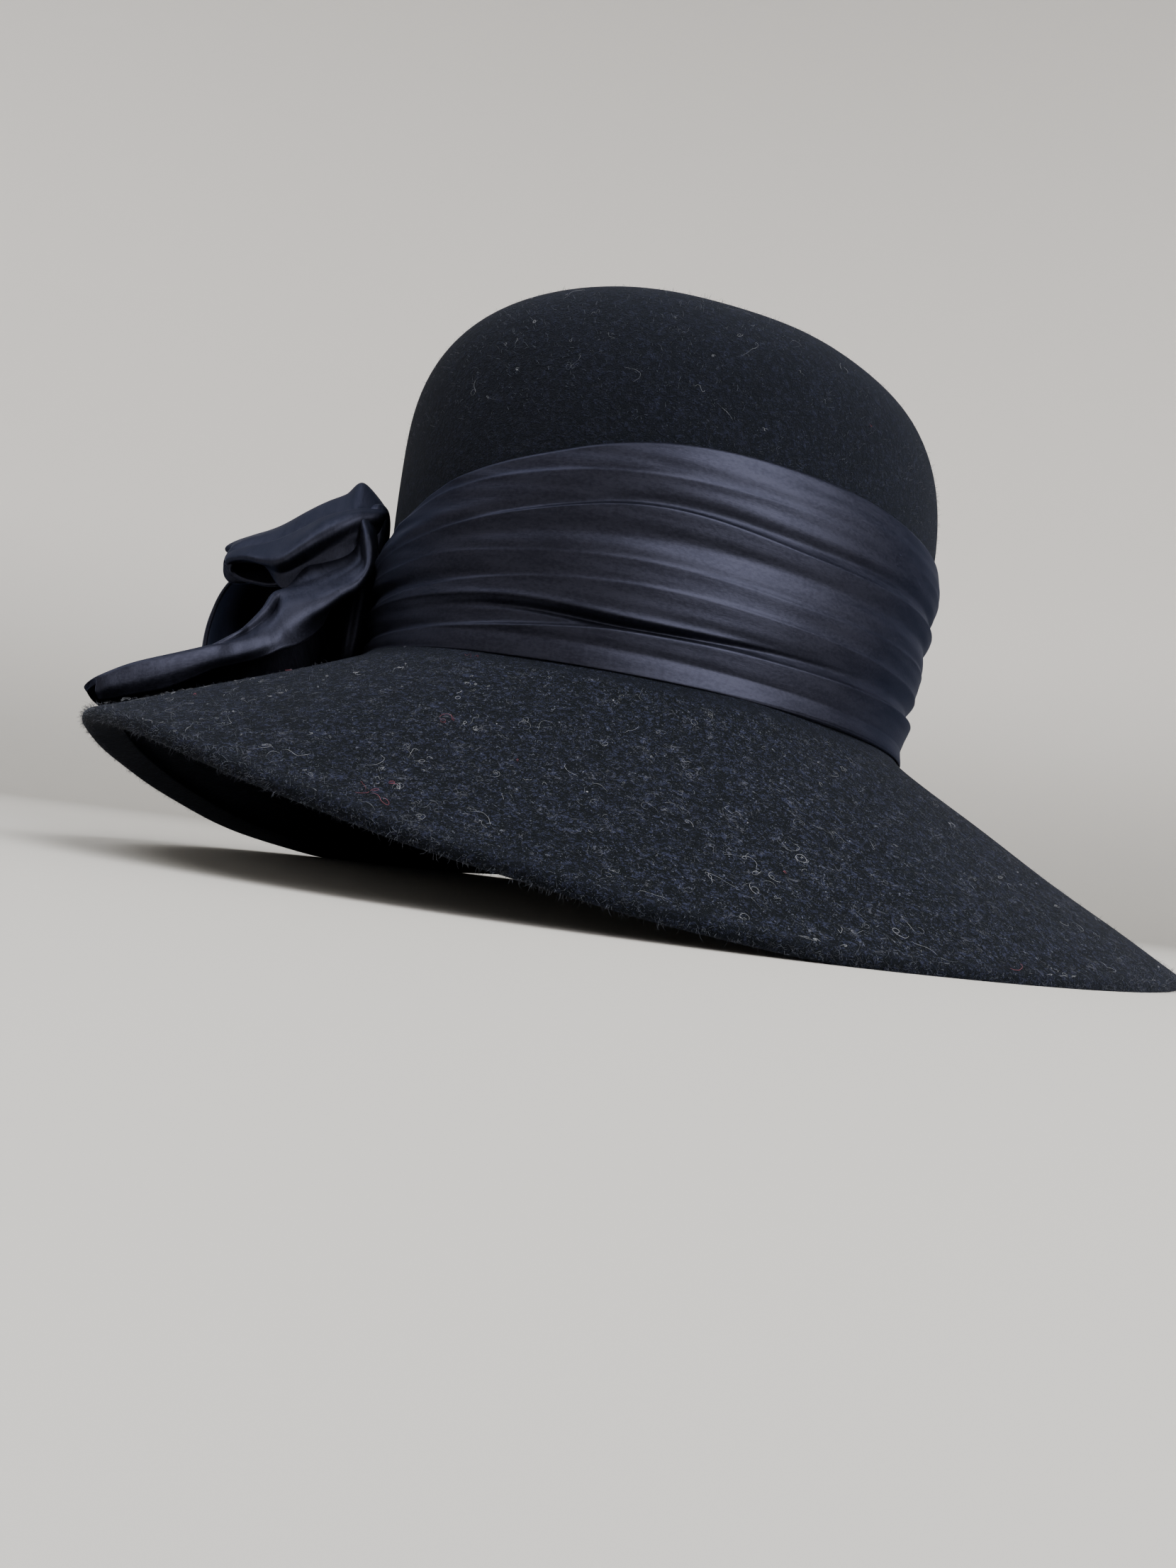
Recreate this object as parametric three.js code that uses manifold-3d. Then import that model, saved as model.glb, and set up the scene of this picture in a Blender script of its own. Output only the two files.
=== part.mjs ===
// A lady's wide-brim felt hat with a draped satin band and a satin bow.
//
// The shape is worked out in the block frame: origin at the middle of the line where crown meets brim,
// +Z up the crown, the front of the hat towards -Y and the wearer's left towards +X. The last step leans
// the hat onto the lowest stretches of its rim and moves it so that the origin is at the bottom centre.
// Lengths are in millimetres and angles in degrees. A "heading" is 0 at the front and 90 at the left side.

import * as THREE from 'three';
import { mergeVertices } from 'three/addons/utils/BufferGeometryUtils.js';
import Module from 'manifold-3d';

// ---------- driving dimensions ----------

const segments = 70; // facets round the hat

const crown = {
  length: 200, // front to back, outside the felt where it meets the brim
  width: 172,
  height: 131,
  flare: 0.1, // how much wider the oval would be at the top than at the foot
  sidePower: 6.6, // high values keep the side straight for longer
  topPower: 2.2, // 2 is a round shoulder, more is a squarer one
  filletReach: 9, // length of crown and of brim taken up by the curve between them
  shoulderTurns: [0, 18, 34, 48, 60, 70, 78], // rings from the crown's middle to its side
  sideHeights: [62, 36], // rings down the side
};

const brim = {
  length: 386,
  width: 362,
  backShift: 15, // the brim is wider behind than in front
  drop: 52.9, // mean depth of the rim below the foot of the crown
  bow: 0.13, // 0 is a straight slope; more is steeper near the crown
  rings: [0.16, 0.4, 0.66], // from the crown at 0 to the rim at 1
};

// The rim's rise and fall round the hat, in waves per turn.
const rimWaves = [
  { perTurn: 2, cosine: 7.9, sine: -7.2 },
  { perTurn: 3, cosine: -1.2, sine: -5.3 },
];

const felt = {
  wall: 2.4,
  hemWidth: 11, // felt turned under along the rim
  hemThickness: 4.4, // both layers
  hemStep: 0.8, // width of the step at the hem's cut edge
};

// How the hat leans when it rests on its rim, and how far its weight presses the lowest felt flat.
const rest = { leanBack: 2.63, leanLeft: 2.26, pressed: 1.3 };

const band = {
  foot: -1.4, // height of its lower edge in the block frame
  top: 66.5, // height of its upper edge away from the bow
  gather: 30, // how much lower the upper edge runs at the bow
  gatherWidth: 58, // degrees over which it comes down
  thickness: 1.3, // cloth where the folds are shallowest
  belly: 2.6, // how far the middle swells
  creaseLift: 0.5, // how strongly a crease's depth shows
  creaseDeepest: 2,
  footDepth: 0.4, // depth given to the lower edge
  footRoll: 3.5, // how far the turned-under lower edge stands off the felt
  foldPower: 2.2, // higher values make a fold broader and its creases narrower
  gap: 0.3,
};

// Creases that part the folds, from the upper edge (0) to the lower edge (1). The four places are
// fractions of the band's height at the headings in foldHeadings. depth is how far the crease sinks,
// crest is where the fold below it stands highest, as a fraction of that fold.
const foldHeadings = [-46, 30, 95, 200];
const folds = [
  { at: [0, 0, 0, 0], depth: 1.2, crest: 0.5, rise: 0.7 },
  { at: [0.17, 0.14, 0.14, 0.16], depth: 0.5, crest: 0.45, rise: 0.9 },
  { at: [0.35, 0.265, 0.3, 0.3], depth: 1.7, crest: 0.25, rise: 1.7 },
  { at: [0.46, 0.41, 0.5, 0.44], depth: 1.3, crest: 0.5, rise: 0.9 },
  { at: [0.57, 0.53, 0.6, 0.56], depth: 0.6, crest: 0.35, rise: 0.9 },
  { at: [0.69, 0.635, 0.72, 0.68], depth: 0.7, crest: 0.3, rise: 1.1 },
  { at: [0.81, 0.82, 0.83, 0.82], depth: 2.0, crest: 0.4, rise: 1.6 },
];

const bow = {
  heading: -46, // where the knot sits on the band
  reach: 97, // distance of the knot frame's origin from the crown's axis
  cloth: 2.2, // two layers of satin and their interfacing
  clearOfFelt: 0.45,
};

const knot = { middle: [5, 1, 25], half: [6.2, 10.5, 26.5], power: 2.5, rings: 11, sides: 16 };

// Sections of the bow's strips in the knot frame [outward, forward, up]. A strip runs through its
// sections in turn. Across each section it runs from far, its edge at the back, over the lines between
// to near, its edge on the hat's front side.
const upperLoop = [
  { far: [5, -10, 48], top: [3, -7, 58], ridge: [4, 8, 46], near: [4, 6, 43] },
  { far: [12, -19, 57], top: [12, -12, 62], ridge: [10, 13, 44], near: [10, 12, 38] },
  { far: [20, -24, 54], top: [17, -14, 58], ridge: [16, 15, 40], near: [15, 12, 34] },
  { far: [29, -26, 49], top: [22, -15, 54], ridge: [21, 15, 35], near: [20, 11, 30] },
  { far: [38, -26, 44], top: [29, -15, 48], ridge: [26, 15, 30], near: [26, 10, 25] },
  { far: [51, -23, 34], top: [41, -14, 38], ridge: [38, 9, 24], near: [38, 5, 24] },
  { far: [54, -21, 30], top: [46, -13, 34], ridge: [44, 3, 25], near: [44, 0, 24] },
  { far: [52, -20, 28], top: [50, -13, 30], ridge: [50, -4, 24], near: [49, -5, 24] },
  { far: [45, -22, 31], top: [51, -14, 26], ridge: [50, -7, 24], near: [50, -7, 22] },
  { far: [33, -23, 38], top: [48, -14, 22], ridge: [46, -8, 21], near: [44, -6, 20] },
  { far: [19, -18, 46], top: [34, -12, 26], ridge: [34, -6, 26], near: [33, -3, 22] },
  { far: [9, -10, 44], top: [11, -8, 40], ridge: [15, -4, 40], near: [16, -2, 36] },
];

const rearLoop = [
  { far: [4, -13, 14], middle: [6, -9, 17], near: [7, -6, 18] },
  { far: [9, -34, 22], middle: [12, -28, 27], near: [15, -21, 23] },
  { far: [22, -48, 24], middle: [25, -40, 31], near: [28, -28, 27] },
  { far: [38, -57, 18], middle: [40, -45, 29], near: [42, -30, 28] },
  { far: [50, -60, 9], middle: [51, -46, 20], near: [50, -31, 24] },
  { far: [54, -61, -6], middle: [57, -46, 4], near: [55, -31, 11] },
  { far: [51, -60, -22], middle: [54, -46, -15], near: [54, -30, -6] },
  { far: [38, -55, -26], middle: [40, -41, -20], near: [43, -27, -14] },
  { far: [22, -42, -14], middle: [25, -33, -12], near: [27, -23, -10] },
  { far: [8, -22, 4], middle: [10, -18, 4], near: [12, -14, 3] },
];

const tail = [
  { far: [8, 0, 46], inner: [6, 3, 46], crest: [4, 6, 47], near: [2, 0, 49] },
  { far: [12, 2, 45], inner: [10, 8, 44], crest: [8, 12, 44], near: [6, 4, 48] },
  { far: [14, 1, 42], inner: [10, 9, 40], crest: [6, 18, 38], near: [4, 4, 44] },
  { far: [18, 0, 34], inner: [9, 15, 30], crest: [4, 26, 26], near: [3, 8, 30] },
  { far: [20, 2, 30], inner: [11, 17, 26], crest: [6, 29, 20], near: [6, 15, 22] },
  { far: [24, 6, 23], inner: [20, 21, 18], crest: [16, 32, 11], near: [13, 22, 12] },
  { far: [30, 7, 8], inner: [28, 23, 12], crest: [26, 34, 4], near: [20, 35, -4] },
  { far: [35, 8, -6], inner: [32, 30, 4], crest: [30, 39, -3], near: [27, 42, -10] },
  { far: [44, 11, -16], inner: [38, 39, -7], crest: [38, 46, -10], near: [36, 48, -16] },
  { far: [59, 18, -27], inner: [59, 43, -24], crest: [54, 54, -20], near: [52, 56, -26] },
  { far: [66, 26, -31], inner: [67, 46, -29], crest: [63, 56, -24], near: [61, 58, -31] },
  { far: [72, 33, -34], inner: [72, 48, -32], crest: [68, 58, -28], near: [66, 58, -34] },
];

const looks = {
  felt: { color: 0x14151b, roughness: 0.95, metalness: 0 },
  satin: { color: 0x1b1a28, roughness: 0.42, metalness: 0 },
};

// ---------- small helpers ----------

const radians = THREE.MathUtils.degToRad;
const lerp = THREE.MathUtils.lerp;
const range = (count) => Array.from({ length: count }, (_, i) => i);
const headings = range(segments).map((i) => (360 * i) / segments);

// A smooth curve through values given at headings round the hat, repeating each turn.
function roundTheHat(places, values) {
  return (heading) => {
    const turn = places[0] + THREE.MathUtils.euclideanModulo(heading - places[0], 360);
    const i = places.filter((place) => place <= turn).length - 1;
    const next = i + 1 < places.length ? places[i + 1] : places[0] + 360;
    const share = THREE.MathUtils.smoothstep(turn, places[i], next);
    return lerp(values[i], values[(i + 1) % values.length], share);
  };
}

// ---------- the felt's outer skin ----------

function crownPoint(heading, height) {
  const up = height / crown.height;
  const ring = (1 + crown.flare * up) * Math.max(0, 1 - up ** crown.sidePower) ** (1 / crown.topPower);
  const angle = radians(heading);
  return new THREE.Vector3(
    (ring * crown.width * Math.sin(angle)) / 2,
    (-ring * crown.length * Math.cos(angle)) / 2,
    height,
  );
}

function rimHeight(heading) {
  const wave = rimWaves.map(({ perTurn, cosine, sine }) => {
    const angle = perTurn * radians(heading);
    return cosine * Math.cos(angle) + sine * Math.sin(angle);
  });
  return wave.reduce((sum, value) => sum + value, -brim.drop);
}

// out is 0 at the crown and 1 at the rim.
function brimPoint(heading, out) {
  const angle = radians(heading);
  return new THREE.Vector3(
    (lerp(crown.width, brim.width, out) * Math.sin(angle)) / 2,
    (-lerp(crown.length, brim.length, out) * Math.cos(angle)) / 2 + brim.backShift * out,
    rimHeight(heading) * (out + brim.bow * out * (1 - out)),
  );
}

function brimReach(heading) {
  return brimPoint(heading, 0).distanceTo(brimPoint(heading, 1));
}

// One point of the outer skin. part is crown (value = height), fillet (value 0 to 1) or brim.
function skin(heading, [part, value]) {
  if (part === 'crown') return crownPoint(heading, value);
  const reach = crown.filletReach;
  const start = reach / brimReach(heading);
  if (part === 'brim') return brimPoint(heading, value);
  if (part === 'inset') return brimPoint(heading, 1 - value / brimReach(heading));
  const above = crownPoint(heading, reach);
  const below = brimPoint(heading, start);
  const corner = brimPoint(heading, 0);
  return above.lerp(corner, value).lerp(corner.lerp(below, value), value);
}

function skinNormal(heading, [part, value]) {
  if (part === 'crown' && value >= crown.height) return new THREE.Vector3(0, 0, 1);
  const step = part === 'crown' || part === 'inset' ? 0.2 : 0.002;
  const round = skin(heading + 0.5, [part, value]).sub(skin(heading - 0.5, [part, value]));
  const along = skin(heading, [part, value + step]).sub(skin(heading, [part, value - step]));
  const normal = along.cross(round).normalize();
  const towards = part === 'crown' ? skin(heading, [part, value]).setZ(0) : new THREE.Vector3(0, 0, 1);
  return normal.dot(towards) < 0 ? normal.negate() : normal;
}

function offsetSkin(heading, place, depth) {
  return skin(heading, place).addScaledVector(skinNormal(heading, place), -depth);
}

// The brim's surface is carried a little past the crown and the rim, so that every piece of the bow
// finds a height.
const brimSearch = { between: [-0.3, 1.6], halvings: 30 };

// Height of the felt's upper side at a point of the brim.
function brimHeight(x, y) {
  let [inner, outer] = brimSearch.between;
  const across = (out) => lerp(crown.width, brim.width, out) / 2;
  const along = (out) => lerp(crown.length, brim.length, out) / 2;
  for (let halving = 0; halving < brimSearch.halvings; halving += 1) {
    const out = (inner + outer) / 2;
    const inside = Math.hypot(x / across(out), (y - brim.backShift * out) / along(out)) < 1;
    if (inside) outer = out;
    else inner = out;
  }
  const heading = Math.atan2(x / across(inner), -(y - brim.backShift * inner) / along(inner));
  return brimPoint(THREE.MathUtils.radToDeg(heading), inner).z;
}

// ---------- solids from rings of points ----------

// Joins each ring to the next. A ring that is one repeated point closes that end; otherwise the
// last ring meets the first (loop) or both ends are capped across their two sides.
function ringSolid(rings, ends) {
  const positions = [];
  const face = (a, b, c) => {
    const small = 1e-6;
    if (a.distanceTo(b) > small && b.distanceTo(c) > small && c.distanceTo(a) > small)
      positions.push(...a.toArray(), ...b.toArray(), ...c.toArray());
  };
  const quad = (a, b, c, d) => {
    face(a, b, c);
    face(a, c, d);
  };
  const around = rings[0].length;
  const spans = ends === 'loop' ? rings.length : rings.length - 1;
  for (const i of range(spans))
    for (const j of range(around)) {
      const next = rings[(i + 1) % rings.length];
      const k = (j + 1) % around;
      quad(rings[i][j], next[j], next[k], rings[i][k]);
    }
  if (ends === 'caps')
    for (const [ring, turned] of [[rings[0], false], [rings[rings.length - 1], true]])
      for (const j of range(around / 2 - 1)) {
        const corners = [ring[j], ring[j + 1], ring[around - 2 - j], ring[around - 1 - j]];
        quad(...(turned ? corners.reverse() : corners));
      }
  const geometry = new THREE.BufferGeometry();
  geometry.setAttribute('position', new THREE.Float32BufferAttribute(positions, 3));
  return faceOut(mergeVertices(geometry, 1e-3));
}

function faceOut(geometry) {
  const corner = range(3).map(() => new THREE.Vector3());
  const index = geometry.index.array;
  let volume = 0;
  for (let i = 0; i < index.length; i += 3) {
    corner.forEach((point, j) => point.fromBufferAttribute(geometry.attributes.position, index[i + j]));
    volume += corner[0].dot(corner[1].cross(corner[2]));
  }
  if (volume < 0) for (let i = 0; i < index.length; i += 3) [index[i], index[i + 1]] = [index[i + 1], index[i]];
  return geometry;
}

// ---------- felt body: crown and brim in one piece, with the rim turned under ----------

const filletShares = [0.35, 0.7];

function feltProfile() {
  const shoulder = crown.shoulderTurns.map((turn) => {
    const up = Math.cos(radians(turn)) ** (2 / crown.sidePower);
    return ['crown', up * crown.height];
  });
  const side = [...crown.sideHeights, crown.filletReach].map((height) => ['crown', height]);
  const fillet = filletShares.map((share) => ['fillet', share]);
  const slope = brim.rings.map((out) => ['brim', out]);
  return [...shoulder, ...side, ...fillet, ...slope];
}

function feltRing(place, depth) {
  return headings.map((heading) => offsetSkin(heading, place, depth));
}

// The rounded rim: half a turn round the middle of the hem's thickness.
function rimRing(turn) {
  const radius = felt.hemThickness / 2;
  return headings.map((heading) => {
    const place = ['inset', radius];
    const normal = skinNormal(heading, place);
    const outward = skin(heading, ['inset', 0]).sub(skin(heading, ['inset', 1])).normalize();
    return skin(heading, place)
      .addScaledVector(normal, -radius + radius * Math.cos(radians(turn)))
      .addScaledVector(outward, radius * Math.sin(radians(turn)));
  });
}

function feltBody() {
  const profile = feltProfile();
  const outside = profile.map((place) => feltRing(place, 0));
  const rim = [0, 45, 90, 135, 180].map(rimRing);
  const hem = [
    feltRing(['inset', felt.hemWidth], felt.hemThickness),
    feltRing(['inset', felt.hemWidth + felt.hemStep], felt.wall),
  ];
  const inside = profile.map((place) => feltRing(place, felt.wall)).reverse();
  return ringSolid([...outside, ...rim, ...hem, ...inside], 'poles');
}

// ---------- satin band ----------

function bandTop(heading) {
  const away = THREE.MathUtils.euclideanModulo(heading - bow.heading + 180, 360) - 180;
  return band.top - band.gather * Math.exp(-((away / band.gatherWidth) ** 2));
}

// How far the cloth stands off the felt at a share of the band's height, from 0 at the top to 1.
function bandStandOff(heading, share) {
  const edges = folds.map((fold) => roundTheHat(foldHeadings, fold.at)(heading));
  edges.push(1);
  const i = Math.min(folds.length - 1, edges.filter((edge) => edge <= share + 1e-9).length - 1);
  const within = (share - edges[i]) / (edges[i + 1] - edges[i]);
  const { crest, rise } = folds[i];
  const skewed = within ** (Math.log(0.5) / Math.log(crest));
  const swell = 1 - Math.abs(2 * skewed - 1) ** band.foldPower;
  const belly = band.belly * Math.sin(Math.PI * lerp(0.12, 0.92, share));
  const sink = lerp(folds[i].depth, i + 1 < folds.length ? folds[i + 1].depth : band.footDepth, within);
  const crease = band.creaseLift * (band.creaseDeepest - sink);
  return band.thickness + belly + lerp(crease, rise, swell);
}

// A point off the side of the crown, level with the skin at that height or with the brim's fillet.
function offCrown(heading, height, distance) {
  const filletTop = crown.filletReach * 0.45;
  const base = crownPoint(heading, Math.max(height, filletTop)).setZ(height);
  const outward = skinNormal(heading, ['crown', band.top / 2]).setZ(0).normalize();
  const filletSwell = 0.75 * Math.max(0, filletTop - height);
  return base.addScaledVector(outward, distance + filletSwell);
}

function bandSolid(grow = 0) {
  const outside = [];
  folds.forEach((fold, i) => {
    const shares = [0, fold.crest, (1 + fold.crest) / 2];
    for (const within of i === 0 ? shares.slice(1) : shares)
      outside.push(
        headings.map((heading) => {
          const edges = folds.map(({ at }) => roundTheHat(foldHeadings, at)(heading));
          const share = lerp(edges[i], i + 1 < folds.length ? edges[i + 1] : 1, within);
          const height = lerp(bandTop(heading), band.foot, share);
          return offCrown(heading, height, bandStandOff(heading, share) + grow);
        }),
      );
  });
  const edge = (share, distance) =>
    headings.map((heading) => offCrown(heading, lerp(bandTop(heading), band.foot, share), distance));
  const lower = edge(1, band.footRoll + grow);
  const against = (place) => headings.map((heading) => offsetSkin(heading, place(heading), grow - band.gap));
  const inside = [
    ...filletShares.toReversed().map((share) => against(() => ['fillet', share])),
    ...[0, 0.33, 0.67, 1].map((share) =>
      against((heading) => ['crown', lerp(crown.filletReach, bandTop(heading), share)]),
    ),
  ];
  const upper = edge(0, band.gap + band.thickness + grow);
  return ringSolid([...outside, lower, ...inside, upper], 'loop');
}

// ---------- satin bow ----------

const knotFrame = new THREE.Matrix4();
{
  const angle = radians(bow.heading);
  const outward = new THREE.Vector3(Math.sin(angle), -Math.cos(angle), 0);
  const forward = new THREE.Vector3(Math.cos(angle), Math.sin(angle), 0);
  const up = new THREE.Vector3(0, 0, 1);
  knotFrame.makeBasis(outward, forward, up).setPosition(outward.clone().multiplyScalar(bow.reach));
}

const signedPower = (value, power) => Math.sign(value) * Math.abs(value) ** power;

function knotSolid(grow = 0) {
  const [outward, forward, up] = knot.half.map((half) => half + grow);
  const power = 2 / knot.power;
  const rings = range(knot.rings).map((i) => {
    const rise = radians(lerp(-90, 90, i / (knot.rings - 1)));
    return range(knot.sides).map((j) => {
      const turn = radians((360 * j) / knot.sides);
      const level = Math.max(0, Math.cos(rise)) ** power;
      return new THREE.Vector3(
        outward * level * signedPower(Math.cos(turn), power),
        forward * level * signedPower(Math.sin(turn), power),
        up * signedPower(Math.sin(rise), power),
      )
        .add(new THREE.Vector3(...knot.middle))
        .applyMatrix4(knotFrame);
    });
  });
  return ringSolid(rings, 'poles');
}

const smallStep = 0.005; // share of a curve used to find its direction

// A strip of cloth through its sections: a closed loop of them, or an open one with square ends.
function stripSolid(sections, { closed, steps, across }, grow = 0) {
  const lanes = Object.keys(sections[0]);
  const half = bow.cloth / 2 + grow;
  const curves = lanes.map((lane) => {
    const points = sections.map((section) => new THREE.Vector3(...section[lane]).applyMatrix4(knotFrame));
    return new THREE.CatmullRomCurve3(points, closed, 'catmullrom');
  });
  const wrap = (along) =>
    closed ? THREE.MathUtils.euclideanModulo(along, 1) : THREE.MathUtils.clamp(along, 0, 1);
  const row = (along) => {
    const points = curves.map((curve) => curve.getPoint(wrap(along)));
    return new THREE.CatmullRomCurve3(points, false, 'catmullrom');
  };
  const rings = range(closed ? steps : steps + 1).map((i) => {
    const along = i / steps;
    const [before, here, after] = [along - smallStep, along, along + smallStep].map(row);
    const layer = (side, offset) => {
      const forward = after.getPoint(side).sub(before.getPoint(side));
      const sideways = here
        .getPoint(Math.min(1, side + smallStep))
        .sub(here.getPoint(Math.max(0, side - smallStep)));
      const point = here.getPoint(side).addScaledVector(forward.cross(sideways).normalize(), offset);
      const lowest = brimHeight(point.x, point.y) + bow.clearOfFelt + (offset > 0 ? bow.cloth : 0);
      return point.setZ(Math.max(point.z, lowest));
    };
    const sides = range(across + 1).map((j) => j / across);
    const upper = sides.map((side) => layer(side, half));
    const lower = sides.map((side) => layer(side, -half)).reverse();
    return [...upper, ...lower];
  });
  return ringSolid(rings, closed ? 'loop' : 'caps');
}

// ---------- cutting one piece clear of another ----------

const wasm = await Module();
wasm.setup();

function toManifold(geometry) {
  const plain = mergeVertices(geometry, 1e-3);
  return new wasm.Manifold(
    new wasm.Mesh({
      numProp: 3,
      vertProperties: new Float32Array(plain.attributes.position.array),
      triVerts: new Uint32Array(plain.index.array),
    }),
  );
}

function toGeometry(solid) {
  const mesh = solid.getMesh();
  const geometry = new THREE.BufferGeometry();
  geometry.setAttribute('position', new THREE.BufferAttribute(new Float32Array(mesh.vertProperties), 3));
  geometry.setIndex(new THREE.BufferAttribute(new Uint32Array(mesh.triVerts), 1));
  return geometry;
}

// What is left of a piece outside the others, and of that the largest body.
function clearOf(geometry, ...others) {
  const left = others.reduce((solid, other) => solid.subtract(toManifold(other)), toManifold(geometry));
  const bodies = left.decompose().sort((a, b) => b.volume() - a.volume());
  return toGeometry(bodies[0]);
}

// The bow's strips, each cut where it meets the knot, the band and the strips before it.
const strips = {
  bow_tail: [tail, { closed: false, steps: 24, across: 6 }],
  bow_loop_upper: [upperLoop, { closed: true, steps: 26, across: 5 }],
  bow_loop_rear: [rearLoop, { closed: true, steps: 20, across: 4 }],
};

function bowStrip(name) {
  const before = Object.keys(strips).slice(0, Object.keys(strips).indexOf(name));
  const grown = before.map((other) => stripSolid(...strips[other], band.gap));
  return clearOf(stripSolid(...strips[name]), knotSolid(band.gap), bandSolid(band.gap), ...grown);
}

// ---------- the assembled hat ----------

const pieces = {
  felt_body: [feltBody(), looks.felt],
  satin_band: [bandSolid(), looks.satin],
  bow_knot: [clearOf(knotSolid(), bandSolid(band.gap)), looks.satin],
  bow_loop_upper: [bowStrip('bow_loop_upper'), looks.satin],
  bow_loop_rear: [bowStrip('bow_loop_rear'), looks.satin],
  bow_tail: [bowStrip('bow_tail'), looks.satin],
};

// Leans the whole hat onto its rim and moves it over the origin.
const lean = new THREE.Matrix4().makeRotationFromEuler(
  new THREE.Euler(radians(-rest.leanBack), radians(rest.leanLeft), 0),
);
const whole = new THREE.Box3();
for (const [geometry] of Object.values(pieces)) {
  geometry.applyMatrix4(lean);
  geometry.computeBoundingBox();
  whole.union(geometry.boundingBox);
}
const middle = whole.getCenter(new THREE.Vector3());
for (const [geometry] of Object.values(pieces))
  geometry.translate(-middle.x, -middle.y, -whole.min.z - rest.pressed);

// Felt that would go below the surface is pressed flat on it.
const feltPlaces = pieces.felt_body[0].attributes.position;
for (const i of range(feltPlaces.count)) feltPlaces.setZ(i, Math.max(0, feltPlaces.getZ(i)));

const hat = new THREE.Group();
for (const [name, [geometry, look]] of Object.entries(pieces)) {
  geometry.computeVertexNormals();
  const mesh = new THREE.Mesh(geometry, new THREE.MeshStandardMaterial(look));
  mesh.name = name;
  hat.add(mesh);
}

export default hat;
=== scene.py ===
import math

import bpy
import numpy as np
from mathutils import Matrix, Vector


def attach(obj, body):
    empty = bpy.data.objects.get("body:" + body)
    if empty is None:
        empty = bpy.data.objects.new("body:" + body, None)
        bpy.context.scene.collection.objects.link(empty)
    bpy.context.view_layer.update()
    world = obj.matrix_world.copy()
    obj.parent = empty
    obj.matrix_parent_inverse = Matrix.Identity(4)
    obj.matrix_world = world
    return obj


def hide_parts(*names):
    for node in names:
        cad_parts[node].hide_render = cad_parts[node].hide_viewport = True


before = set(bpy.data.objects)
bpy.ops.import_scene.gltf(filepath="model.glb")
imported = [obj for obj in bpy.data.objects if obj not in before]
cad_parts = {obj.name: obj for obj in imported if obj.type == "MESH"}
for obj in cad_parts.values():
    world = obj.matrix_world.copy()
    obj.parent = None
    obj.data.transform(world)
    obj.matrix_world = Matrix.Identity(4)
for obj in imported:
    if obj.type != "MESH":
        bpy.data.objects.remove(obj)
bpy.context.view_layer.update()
print("frame loaded")


# The hat's form, as the solids have it

# Millimetres. The origin is the middle of the line where crown meets brim, before the hat leans onto
# its rim; a heading is 0 at the front and 90 at the wearer's left.
hatForm = {
    "crownLength": 200.0,
    "crownWidth": 172.0,
    "crownHeight": 131.0,
    "flare": 0.1,
    "sidePower": 6.6,
    "topPower": 2.2,
    "fillet": 9.0,
    "brimLength": 386.0,
    "brimWidth": 362.0,
    "backShift": 15.0,
    "drop": 52.9,
    "brimBow": 0.13,
    "rimWaves": [(2, 7.9, -7.2), (3, -1.2, -5.3)],
    "leanBack": 2.63,
    "leanLeft": 2.26,
}

lean = np.array(
    Matrix.Rotation(math.radians(-hatForm["leanBack"]), 3, "X")
    @ Matrix.Rotation(math.radians(hatForm["leanLeft"]), 3, "Y")
)
feltPoints = np.array([v.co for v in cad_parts["felt_body"].data.vertices])
crownTop = feltPoints[np.argmax(feltPoints @ lean[:, 2])]
standsAt = crownTop - lean @ (0, 0, hatForm["crownHeight"] / 1000)


def toPart(points):
    return points / 1000 @ lean.T + standsAt


def keepAbove(points, height):
    points[..., 2] = np.maximum(points[..., 2], height)


def mix(a, b, share):
    return a + (b - a) * share


def unit(vectors):
    return vectors / np.maximum(np.linalg.norm(vectors, axis=-1, keepdims=True), 1e-9)


def fullTurn(count):
    return np.linspace(0, 2 * math.pi, count, endpoint=False)


def crownPoints(heading, height):
    up = np.clip(height / hatForm["crownHeight"], 0, 1)
    closing = np.maximum(0, 1 - up ** hatForm["sidePower"]) ** (1 / hatForm["topPower"])
    ring = (1 + hatForm["flare"] * up) * closing
    x = ring * hatForm["crownWidth"] / 2 * np.sin(heading)
    y = -ring * hatForm["crownLength"] / 2 * np.cos(heading)
    return np.stack([x, y, height + 0 * x], -1)


def rimHeight(heading):
    total = -hatForm["drop"]
    for perTurn, cosine, sine in hatForm["rimWaves"]:
        total = total + cosine * np.cos(perTurn * heading) + sine * np.sin(perTurn * heading)
    return total


def brimOval(out):
    # half its width and length, and how far back its middle lies
    width = mix(hatForm["crownWidth"], hatForm["brimWidth"], out)
    length = mix(hatForm["crownLength"], hatForm["brimLength"], out)
    return width / 2, length / 2, hatForm["backShift"] * out


def brimPoints(heading, out):
    width, length, back = brimOval(out)
    x = width * np.sin(heading)
    y = -length * np.cos(heading) + back
    z = rimHeight(heading) * (out + hatForm["brimBow"] * out * (1 - out))
    return np.stack([x, y, z + 0 * x], -1)


def brimReach(heading):
    return np.linalg.norm(brimPoints(heading, 0.0) - brimPoints(heading, 1.0), axis=-1)


# A ring of the felt's outer skin. The place is a part of it and how far along that part.
def skinRing(heading, part, value):
    if part == "shoulder":  # degrees from the crown's middle
        up = math.cos(math.radians(value)) ** (2 / hatForm["sidePower"])
        return crownPoints(heading, up * hatForm["crownHeight"])
    if part == "side":  # height
        return crownPoints(heading, value)
    if part == "brim":  # 0 at the crown, 1 at the rim
        return brimPoints(heading, value)
    if part == "inset":  # distance in from the rim
        return brimPoints(heading, 1 - value / brimReach(heading))
    share = value  # fillet, 0 to 1
    above = crownPoints(heading, hatForm["fillet"])
    corner = brimPoints(heading, 0.0)
    below = brimPoints(heading, hatForm["fillet"] / brimReach(heading))
    return mix(mix(above, corner, share), mix(corner, below, share), share)


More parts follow.
